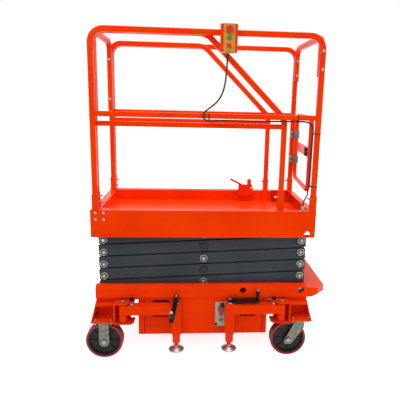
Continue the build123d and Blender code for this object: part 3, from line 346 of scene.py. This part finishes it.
def shifted(tree, geometry, **by):
    # moves a piece along X, Y or Z
    offset = addNode(tree, "ShaderNodeCombineXYZ", by)
    moved = addNode(tree, "GeometryNodeTransform", {"Geometry": geometry, "Translation": offset.outputs[0]})
    return moved.outputs[0]


def spreadOver(tree, given, made, pieces, finish):
    # one copy of the pieces at each place, turned the way the place faces
    join = addNode(tree, "GeometryNodeJoinGeometry")
    for piece in pieces:
        tree.links.new(piece, join.inputs[0])
    facing = addNode(tree, "GeometryNodeInputNamedAttribute", {"Name": "facing"}, data_type="FLOAT_VECTOR")
    turn = addNode(tree, "FunctionNodeAlignRotationToVector", {"Vector": facing.outputs[0]}, axis="Z")
    copies = addNode(tree, "GeometryNodeInstanceOnPoints", {"Points": given.outputs["Geometry"],
                                                            "Instance": join.outputs[0],
                                                            "Rotation": turn.outputs[0]})
    solid = addNode(tree, "GeometryNodeRealizeInstances", {"Geometry": copies.outputs[0]})
    painted = addNode(tree, "GeometryNodeSetMaterial", {"Geometry": solid.outputs[0], "Material": finish})
    tree.links.new(painted.outputs[0], made.inputs[0])
    return tree


def hexBoltTree(name, finish, sides=6):
    # a washer, a head on it and a low crown on the head, all from the place outwards
    tree, given, made = bareTree(name, ("Head Radius", "Head Height", "Washer Radius", "Washer Thick"))
    radius, height, washerRadius, thick = (given.outputs[size] for size in
                                           ("Head Radius", "Head Height", "Washer Radius", "Washer Thick"))
    washer = addNode(tree, "GeometryNodeMeshCylinder", {"Vertices": 20, "Radius": washerRadius, "Depth": thick})
    head = addNode(tree, "GeometryNodeMeshCylinder", {"Vertices": sides, "Radius": radius, "Depth": height})
    crown = addNode(tree, "GeometryNodeMeshCone", {"Vertices": 18,
                                                   "Radius Top": sums(tree, "MULTIPLY", radius, 0.70),
                                                   "Radius Bottom": sums(tree, "MULTIPLY", radius, 0.86),
                                                   "Depth": sums(tree, "MULTIPLY", height, 0.22)})
    halfThick = sums(tree, "MULTIPLY", thick, 0.5)
    halfHeight = sums(tree, "MULTIPLY", height, 0.5)
    pieces = [shifted(tree, washer.outputs["Mesh"], Z=halfThick),
              shifted(tree, shifted(tree, head.outputs["Mesh"], Z=halfHeight), Z=thick),
              shifted(tree, shifted(tree, crown.outputs["Mesh"], Z=height), Z=thick)]
    return spreadOver(tree, given, made, pieces, finish)


def circlipTree(finish):
    # an open spring ring with an eye at each end, lying in the groove near a shaft's end
    opening = 40
    firstEnd = -90 + opening / 2
    lastEnd = -90 - opening / 2
    tree, given, made = bareTree("circlips", ("Ring Radius", "Ring Width", "Ring Thick", "Eye Radius"))
    radius, width, thick, eyeRadius = (given.outputs[size] for size in
                                       ("Ring Radius", "Ring Width", "Ring Thick", "Eye Radius"))
    arc = addNode(tree, "GeometryNodeCurveArc", {"Resolution": 22, "Radius": radius,
                                                 "Start Angle": math.radians(firstEnd),
                                                 "Sweep Angle": math.radians(360 - opening)})
    section = addNode(tree, "GeometryNodeCurvePrimitiveQuadrilateral", {"Width": width, "Height": thick})
    ring = addNode(tree, "GeometryNodeCurveToMesh", {"Curve": arc.outputs["Curve"],
                                                     "Profile Curve": section.outputs[0], "Fill Caps": True})
    pieces = [ring.outputs[0]]
    for angle in (firstEnd, lastEnd):
        x = sums(tree, "MULTIPLY", radius, math.cos(math.radians(angle)))
        y = sums(tree, "MULTIPLY", radius, math.sin(math.radians(angle)))
        eye = addNode(tree, "GeometryNodeMeshCylinder", {"Vertices": 10, "Radius": eyeRadius, "Depth": thick})
        pieces.append(shifted(tree, eye.outputs["Mesh"], X=x, Y=y))
    return spreadOver(tree, given, made, pieces, finish)


def spread(name, body, tree, sizes, places):
    # places are (point, way it faces); the result is one plain mesh on its body
    mesh = bpy.data.meshes.new(name + "Places")
    mesh.from_pydata([tuple(p) for p, way in places], [], [])
    facing = mesh.attributes.new("facing", "FLOAT_VECTOR", "POINT")
    for item, (p, way) in zip(facing.data, places):
        item.vector = way
    rough = bpy.data.objects.new(name + "Places", mesh)
    bpy.context.collection.objects.link(rough)
    modifier = rough.modifiers.new("spread", "NODES")
    modifier.node_group = tree
    for item in tree.interface.items_tree:
        if item.in_out == "INPUT" and item.name in sizes:
            modifier[item.identifier] = sizes[item.name] / 1000
    bpy.context.view_layer.update()
    graph = bpy.context.evaluated_depsgraph_get()
    final = bpy.data.meshes.new_from_object(rough.evaluated_get(graph))
    rough.modifiers.clear()
    bpy.data.objects.remove(rough)
    return finishPiece(name, final, body)


def finishPiece(name, mesh, body, material=None):
    if material:
        mesh.materials.clear()
        mesh.materials.append(material)
    piece = bpy.data.objects.new(name, mesh)
    bpy.context.collection.objects.link(piece)
    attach(piece, body)
    return piece


boltTree = hexBoltTree("hexBolts", zinc)
pinTree = hexBoltTree("lockPins", zinc, 16)
# dark discs used only as painted shadow: in the spring rings' grooves, and as rims round the plain caps
shadowDiscTree = hexBoltTree("paintedShadowDiscs", blackNylon, 14)
ringTree = circlipTree(zinc)
left = (-1, 0, 0)
right = (1, 0, 0)
front = (0, -1, 0)
rear = (0, 1, 0)
up = (0, 0, 1)
down = (0, 0, -1)
bothSides = ((-1, front, rear), (1, rear, front))  # sign of Y, the way out, the way in

# caster bolts through each bracket plate, heads up and nuts below, and the hinge pins' heads
casterBolts = {"spacingX": 84.0, "spacingY": 73.0, "centreX": (-535.0, 540.0), "centreY": 276.0, "plateTop": 226.0,
               "plateUnder": 213.0, "sizes": {"Head Radius": 7.4, "Head Height": 5.5, "Washer Radius": 9.5,
                                              "Washer Thick": 1.6}}
places = []
for x in casterBolts["centreX"]:
    for y in (-casterBolts["centreY"], casterBolts["centreY"]):
        for dx in (-0.5, 0.5):
            for dy in (-0.5, 0.5):
                boltX = x + dx * casterBolts["spacingX"]
                boltY = y + dy * casterBolts["spacingY"]
                places.append((onPack(boltX, boltY, casterBolts["plateTop"]), up))
                places.append((onPack(boltX, boltY, casterBolts["plateUnder"]), down))
spread("casterBolts", "chassis", boltTree, casterBolts["sizes"], places)

hingeHeads = {"x": 427.5, "y": 325.0, "z": 339.8,
              "sizes": {"Head Radius": 11.0, "Head Height": 5.0, "Washer Radius": 13.0, "Washer Thick": 1.2}}
places = []
for sx in (-1, 1):
    for sy in (-1, 1):
        places.append((onPack(sx * hingeHeads["x"], sy * hingeHeads["y"], hingeHeads["z"]), up))
spread("hingePinHeads", "chassis", pinTree, hingeHeads["sizes"], places)

# axle bolt heads on the forks
axleHeads = {"fixedX": -535.0, "swivelX": 478.0, "y": 276.0, "z": 100.0, "faceY": 40.0,
             "sizes": {"Head Radius": 9.5, "Head Height": 5.0, "Washer Radius": 11.5, "Washer Thick": 1.0}}
for body, x, sides in (("chassis", axleHeads["fixedX"], (-1, 1)), ("swivel_front_right", axleHeads["swivelX"], (-1,)),
                       ("swivel_rear_right", axleHeads["swivelX"], (1,))):
    places = []
    for side in sides:
        for face, way in ((-1, front), (1, rear)):
            faceY = side * axleHeads["y"] + face * axleHeads["faceY"]
            places.append((onPack(x, faceY, axleHeads["z"]), way))
    spread("axleHeads_" + body, body, boltTree, axleHeads["sizes"], places)
print("chassis hardware made")

# spring rings on the arms' shafts: ends of each outer pair, middles of each inner pair
arms = {"stages": 5, "pinX": 534.03, "level": 390.0, "step": 67.0, "plainMiddles": (2, 4),
        "barY": 251.0, "discY": 255.0, "ringY": 256.2, "centreY": 258.5}
ringSizes = {"Ring Radius": 17.6, "Ring Width": 4.4, "Ring Thick": 2.2, "Eye Radius": 2.8}
grooveShadowSizes = {"Head Radius": 12.4, "Head Height": 2.2, "Washer Radius": 15.4, "Washer Thick": 1.0}
centreSizes = {"Head Radius": 8.6, "Head Height": 0.3, "Washer Radius": 9.2, "Washer Thick": 0.5}
capRimShadowSizes = {"Head Radius": 6.0, "Head Height": 4.0, "Washer Radius": 24.0, "Washer Thick": 1.6}


def onShafts(sides, y):  # the same places, that far out from the middle of the pack
    return [(onPack(x, side * y, z), way) for x, z, side, way in sides]


for stage in range(1, arms["stages"] + 1):
    low = arms["level"] + (stage - 1) * arms["step"]
    ends = [(-arms["pinX"], low), (arms["pinX"], low + arms["step"])]
    middle = [(0.0, low + arms["step"] / 2)]
    for body, spots in (("outer_%d" % stage, ends), ("inner_%d" % stage, middle)):
        sides = [(x, z, side, way) for x, z in spots for side, way in ((-1, front), (1, rear))]
        if body.startswith("inner") and stage in arms["plainMiddles"]:
            # a dark disc wider than each plain slate cap, its rim a painted shadow outline round the cap
            shadedCapRimSpots = onShafts(sides, arms["barY"])
            spread("paintedCapRimShadow_" + body, body, shadowDiscTree, capRimShadowSizes, shadedCapRimSpots)
            continue
        rings = onShafts(sides, arms["ringY"])
        spread("springRings_" + body, body, ringTree, ringSizes, rings)
        # a dark disc inside each spring ring, painted shadow in the ring's groove round the bright shaft end
        shadedGrooveSpots = onShafts(sides, arms["discY"])
        spread("paintedGrooveShadow_" + body, body, shadowDiscTree, grooveShadowSizes, shadedGrooveSpots)
        centres = onShafts(sides, arms["centreY"])
        spread("shaftCentres_" + body, body, pinTree, centreSizes, centres)
print("spring rings made")

# bolts on the main deck and its rails
deckBolts = {"boardX": (-567.0, -525.0), "boardZ": (818.0, 784.0), "boardY": 301.0,
             "rightX": 567.0, "rightZ": (1648.0, 1560.0), "postFaces": (301.0, 245.0),
             "hingeX": 561.0, "hingeY": 268.0, "hingeZ": (1042.0, 1200.0), "hingeHalfPitch": 13.0,
             "sizes": {"Head Radius": 5.6, "Head Height": 4.0, "Washer Radius": 7.6, "Washer Thick": 1.2}}
places = []
for side, way, other in bothSides:
    for x in deckBolts["boardX"]:
        for z in deckBolts["boardZ"]:
            places.append((onDeck(x, side * deckBolts["boardY"], z), way))
    for z in deckBolts["rightZ"]:
        places.append((onDeck(deckBolts["rightX"], side * deckBolts["postFaces"][0], z), way))
        places.append((onDeck(deckBolts["rightX"], side * deckBolts["postFaces"][1], z), other))
for z in deckBolts["hingeZ"]:
    for dz in (-deckBolts["hingeHalfPitch"], deckBolts["hingeHalfPitch"]):
        places.append((onDeck(deckBolts["hingeX"], deckBolts["hingeY"], z + dz), front))
spread("deckBolts", "deck", boltTree, deckBolts["sizes"], places)
hoopBolts = {"x": -567.0, "z": (1621.0, 1393.0), "faces": (263.0, 207.0), "latch": (294.2, 246.0, 908.0)}
places = []
for side, way, other in bothSides:
    for z in hoopBolts["z"]:
        places.append((onDeck(hoopBolts["x"], side * hoopBolts["faces"][0], z), way))
        places.append((onDeck(hoopBolts["x"], side * hoopBolts["faces"][1], z), other))
places.append((onDeck(*hoopBolts["latch"]), up))
spread("rolloutBolts", "rollout", boltTree, deckBolts["sizes"], places)

# spring pins that lock each rail post in its socket
lockPins = {"z": (898.0, 862.0), "leftX": -551.0, "rightX": 384.0, "y": 249.0, "deckX": 551.0, "deckY": 287.0,
            "sizes": {"Head Radius": 4.6, "Head Height": 13.0, "Washer Radius": 7.5, "Washer Thick": 3.0}}
places = []
for side in (-1, 1):
    for z in lockPins["z"]:
        places.append((onDeck(lockPins["leftX"], side * lockPins["y"], z), right))
    places.append((onDeck(lockPins["rightX"], side * lockPins["y"], lockPins["z"][0]), left))
spread("rolloutLockPins", "rollout", pinTree, lockPins["sizes"], places)
places = [(onDeck(lockPins["deckX"], side * lockPins["deckY"], lockPins["z"][0]), left) for side in (-1, 1)]
spread("deckLockPins", "deck", pinTree, lockPins["sizes"], places)
print("deck hardware made")


# ---- turned pieces: sleeves, collars, the key switch, the cord's boot
def turned(name, body, material, profile, spots, way=(0, 0, 1), sides=24):
    # profile is (radius, height) from the base up, in millimetres, turned about the way it faces
    mesh = bpy.data.meshes.new(name)
    form = bmesh.new()
    turn = Vector((0, 0, 1)).rotation_difference(Vector(way)).to_matrix()
    for spot in spots:
        rings = []
        for radius, height in profile:
            ring = []
            for k in range(sides):
                a = 2 * math.pi * k / sides
                point = Vector((radius * math.cos(a), radius * math.sin(a), height)) / 1000
                ring.append(form.verts.new(spot + turn @ point))
            rings.append(ring)
        for low, high in zip(rings, rings[1:]):
            for k in range(sides):
                form.faces.new((low[k], low[(k + 1) % sides], high[(k + 1) % sides], high[k]))
        form.faces.new(list(reversed(rings[0])))
        form.faces.new(rings[-1])
    bmesh.ops.recalc_face_normals(form, faces=form.faces)
    form.to_mesh(mesh)
    form.free()
    for face in mesh.polygons:
        face.use_smooth = len(face.vertices) == 4
    return finishPiece(name, mesh, body, material)


plunger = {"x": 382.0, "y": 325.0, "foot": 322.0, "collar": ((11, 0), (11, 3), (9, 5), (9, 9)),
           "sleeve": ((8.6, 9), (9.2, 11), (9.2, 22), (8.4, 24))}
screwNut = {"x": 144.0, "y": 325.0, "z": 328.0, "washer": ((15.5, 0), (15.5, 2.5), (13.5, 5.4), (13.5, 6.0))}
# a swung crank reaches out and down from the tall screw, a folded one lies along the beam from the short one
cranks = {"tall": 362.0, "short": 342.0, "swung": (20, 140, -60), "folded": (149, 0, 0),
          "swungOver": (0.38, 0.925), "halfThick": 7.3, "handle": 55.0,
          "headSizes": {"Head Radius": 6.5, "Head Height": 5.0, "Washer Radius": 8.0, "Washer Thick": 1.2}}
for corner, sx, sy in (("front_left", -1, -1), ("front_right", 1, -1), ("rear_left", -1, 1), ("rear_right", 1, 1)):
    body = "outrigger_" + corner
    knob = [onPack(sx * plunger["x"], sy * plunger["y"], plunger["foot"])]
    turned("plungerCollar_" + corner, body, zinc, plunger["collar"], knob)
    turned("plungerSleeve_" + corner, body, redSleeve, plunger["sleeve"], knob)
    top = onPack(sx * screwNut["x"], sy * screwNut["y"], screwNut["z"])
    turned("screwWasher_" + corner, body, zinc, screwNut["washer"], [top])
    swung = sx * sy > 0
    reachX, reachY, reachZ = cranks["swung"] if swung else cranks["folded"]
    along = Vector((sx * reachX, sy * reachY, reachZ))
    overY, overZ = cranks["swungOver"] if swung else (0, 1)
    over = Vector((0, sy * overY, overZ)).normalized()
    root = onPack(sx * screwNut["x"], sy * screwNut["y"], cranks["tall"] if swung else cranks["short"])
    flat = along.cross(over).cross(along).normalized()
    places = [(root + flat * (cranks["halfThick"] / 1000), tuple(flat)),
              (root + along / 1000 + over * (cranks["handle"] / 1000), tuple(over))]
    spread("crankEnds_" + corner, body, pinTree, cranks["headSizes"], places)

panel = {"keyX": 104.0, "keyZ": 305.0, "barrel": ((10.5, 0), (10.5, 8), (8.5, 10), (8.5, 12)),
         "plugX": 72.0, "plugZ": 190.0, "plug": ((7, 0), (7, 3), (5, 4)),
         "screwPlaces": ((72.5, 312.0), (122.5, 186.0), (122.5, 312.0)),
         "screwSizes": {"Head Radius": 3.0, "Head Height": 1.6, "Washer Radius": 3.6, "Washer Thick": 0.5}}
panelY = panelFace * 1000
turned("keySwitch", "chassis", blackNylon, panel["barrel"],
       [onPack(panel["keyX"], panelY, panel["keyZ"])], front)
turned("panelPlug", "chassis", blackNylon, panel["plug"],
       [onPack(panel["plugX"], panelY, panel["plugZ"])], front)
places = [(onPack(x, panelY, z), front) for x, z in panel["screwPlaces"]]
spread("panelScrews", "chassis", pinTree, panel["screwSizes"], places)
boot = {"profile": ((9.0, 0), (8.6, 3), (6.4, 14), (5.0, 26)), "sides": 20}
turned("cordBoot", "deck", blackNylon, boot["profile"], [onDeck(*cordRoute["start"])], down,
       boot["sides"])
print("turned pieces made")

# rubber beads in the seams of the housing's doors, both sides; each bead's section is (across, out)
doorSeals = {"x": (-318.5, 330.5), "faceY": 286.0, "low": 133.0, "high": 347.0,
             "section": ((-1.9, 0), (-1.4, 0.9), (0, 1.3), (1.4, 0.9), (1.9, 0))}


def makeSeals(s):
    mesh = bpy.data.meshes.new("doorSeals")
    form = bmesh.new()
    count = len(s["section"])
    for x in s["x"]:
        for side in (-1, 1):
            ends = []
            for z in (s["low"], s["high"]):
                ring = []
                for dx, out in s["section"]:
                    ring.append(form.verts.new(onPack(x + dx, side * (s["faceY"] + out), z)))
                ends.append(ring)
            low, high = ends
            for k in range(count):
                after = (k + 1) % count
                form.faces.new((low[k], low[after], high[after], high[k]))
            form.faces.new(list(reversed(low)))
            form.faces.new(high)
    bmesh.ops.recalc_face_normals(form, faces=form.faces)
    form.to_mesh(mesh)
    form.free()
    finishPiece("doorSeals", mesh, "chassis", blackNylon)


makeSeals(doorSeals)

# ---- cable ties: a flat band pulled round the rail tube and the cord beside it
# a run of ties has its tube's axis (0 along X, 2 along Z), middle and half width, and where the cord lies
ties = {"wide": 4.6, "thick": 1.1, "cordRadius": 4.6, "corner": 5.0, "steps": 24, "runs": (
    {"axis": 0, "tube": (-287.0, 1320.0), "half": 13.2,
     "cord": ((8.0, -294.5, 1299.0), (460.0, -287.0, 1302.5))},
    {"axis": 2, "tube": (567.0, -287.0), "half": 14.2,
     "cord": ((544.0, -287.0, 1240.0), (539.0, -286.0, 965.0))})}


def hullOf(points):
    # the outline that a band pulled tight round the points takes
    points = sorted(set(points))
    half = []
    for run in (points, points[::-1]):
        chain = []
        for p in run:
            while len(chain) > 1 and ((chain[-1][0] - chain[-2][0]) * (p[1] - chain[-2][1])
                                      - (chain[-1][1] - chain[-2][1]) * (p[0] - chain[-2][0])) <= 0:
                chain.pop()
            chain.append(p)
        half += chain[:-1]
    return half


def makeTies(t):
    mesh = bpy.data.meshes.new("cordTies")
    form = bmesh.new()
    for run in t["runs"]:
        axis, tube, straight = run["axis"], run["tube"], run["half"] - t["corner"]
        for x, y, z in run["cord"]:
            cord = (y, z) if axis == 0 else (x, y)
            outline = []
            for k in range(t["steps"]):
                a = 2 * math.pi * k / t["steps"]
                c, s = math.cos(a), math.sin(a)
                outline.append((cord[0] + t["cordRadius"] * c, cord[1] + t["cordRadius"] * s))
                cornerX = tube[0] + math.copysign(straight, c)
                cornerY = tube[1] + math.copysign(straight, s)
                outline.append((cornerX + t["corner"] * c, cornerY + t["corner"] * s))
            loop = hullOf([(round(a, 3), round(b, 3)) for a, b in outline])
            centre = (sum(p[0] for p in loop) / len(loop), sum(p[1] for p in loop) / len(loop))
            sides = []
            for along in (-t["wide"] / 2, t["wide"] / 2):
                for grow in (0.0, t["thick"]):
                    ring = []
                    for a, b in loop:
                        away = Vector((a - centre[0], b - centre[1])).normalized() * grow
                        a2, b2 = a + away.x, b + away.y
                        at = (x + along, a2, b2) if axis == 0 else (a2, b2, z + along)
                        ring.append(form.verts.new(onDeck(*at)))
                    sides.append(ring)
            inner0, outer0, inner1, outer1 = sides
            count = len(loop)
            for a, b in ((inner0, outer0), (outer0, outer1), (outer1, inner1), (inner1, inner0)):
                for k in range(count):
                    form.faces.new((a[k], a[(k + 1) % count], b[(k + 1) % count], b[k]))
    bmesh.ops.recalc_face_normals(form, faces=form.faces)
    form.to_mesh(mesh)
    form.free()
    finishPiece("cordTies", mesh, "deck", blackNylon)


makeTies(ties)
print("cord ties made")

# ---- floor, lamps and world
def lookedAt(tree):
    # 1 for a ray from the camera, or one by way of a shiny or clear surface
    rays = addNode(tree, "ShaderNodeLightPath")
    seen = sums(tree, "MAXIMUM", rays.outputs["Is Camera Ray"], rays.outputs["Is Glossy Ray"])
    return sums(tree, "MAXIMUM", seen, rays.outputs["Is Transmission Ray"])


studio = {"floorHalf": 30, "floorGlow": 0.8, "skyLight": 0.46, "aim": (0, 0, 0.8)}
mesh = bpy.data.meshes.new("studioFloor")
form = bmesh.new()
bmesh.ops.create_grid(form, x_segments=1, y_segments=1, size=studio["floorHalf"])
form.to_mesh(mesh)
form.free()
floor = bpy.data.objects.new("studioFloor", mesh)
bpy.context.collection.objects.link(floor)
floorPaint, tree, shader, place = newMaterial("whitePaintedFloor", 0.0, 0.9)
shader.inputs["Base Color"].default_value = linear("#E8E8E8")
shader.inputs["Emission Color"].default_value = linear("#FFFFFF")
glow = sums(tree, "MULTIPLY", lookedAt(tree), studio["floorGlow"])
tree.links.new(glow, shader.inputs["Emission Strength"])
floor.data.materials.append(floorPaint)

# each lamp's place and size in metres, and its power in watts
lamps = {"key": ((-1.6, -2.8, 3.4), 2.4, 48), "fill": ((2.6, -2.4, 2.0), 2.6, 28),
         "top": ((0.2, 0.3, 4.4), 2.6, 150)}
for name, (spot, size, power) in lamps.items():
    light = bpy.data.lights.new(name, "AREA")
    light.size = size
    light.energy = power
    lamp = bpy.data.objects.new(name, light)
    bpy.context.collection.objects.link(lamp)
    lamp.location = spot
    lamp.rotation_euler = (Vector(studio["aim"]) - Vector(spot)).to_track_quat("-Z", "Y").to_euler()

world = bpy.data.worlds.new("studioWorld")
bpy.context.scene.world = world
world.use_nodes = True
sky = world.node_tree
back = next(n for n in sky.nodes if n.type == "BACKGROUND")
back.inputs["Color"].default_value = linear("#FFFFFF")
sky.links.new(spreadTo(sky, lookedAt(sky), studio["skyLight"], 1.0), back.inputs["Strength"])
print("studio made")
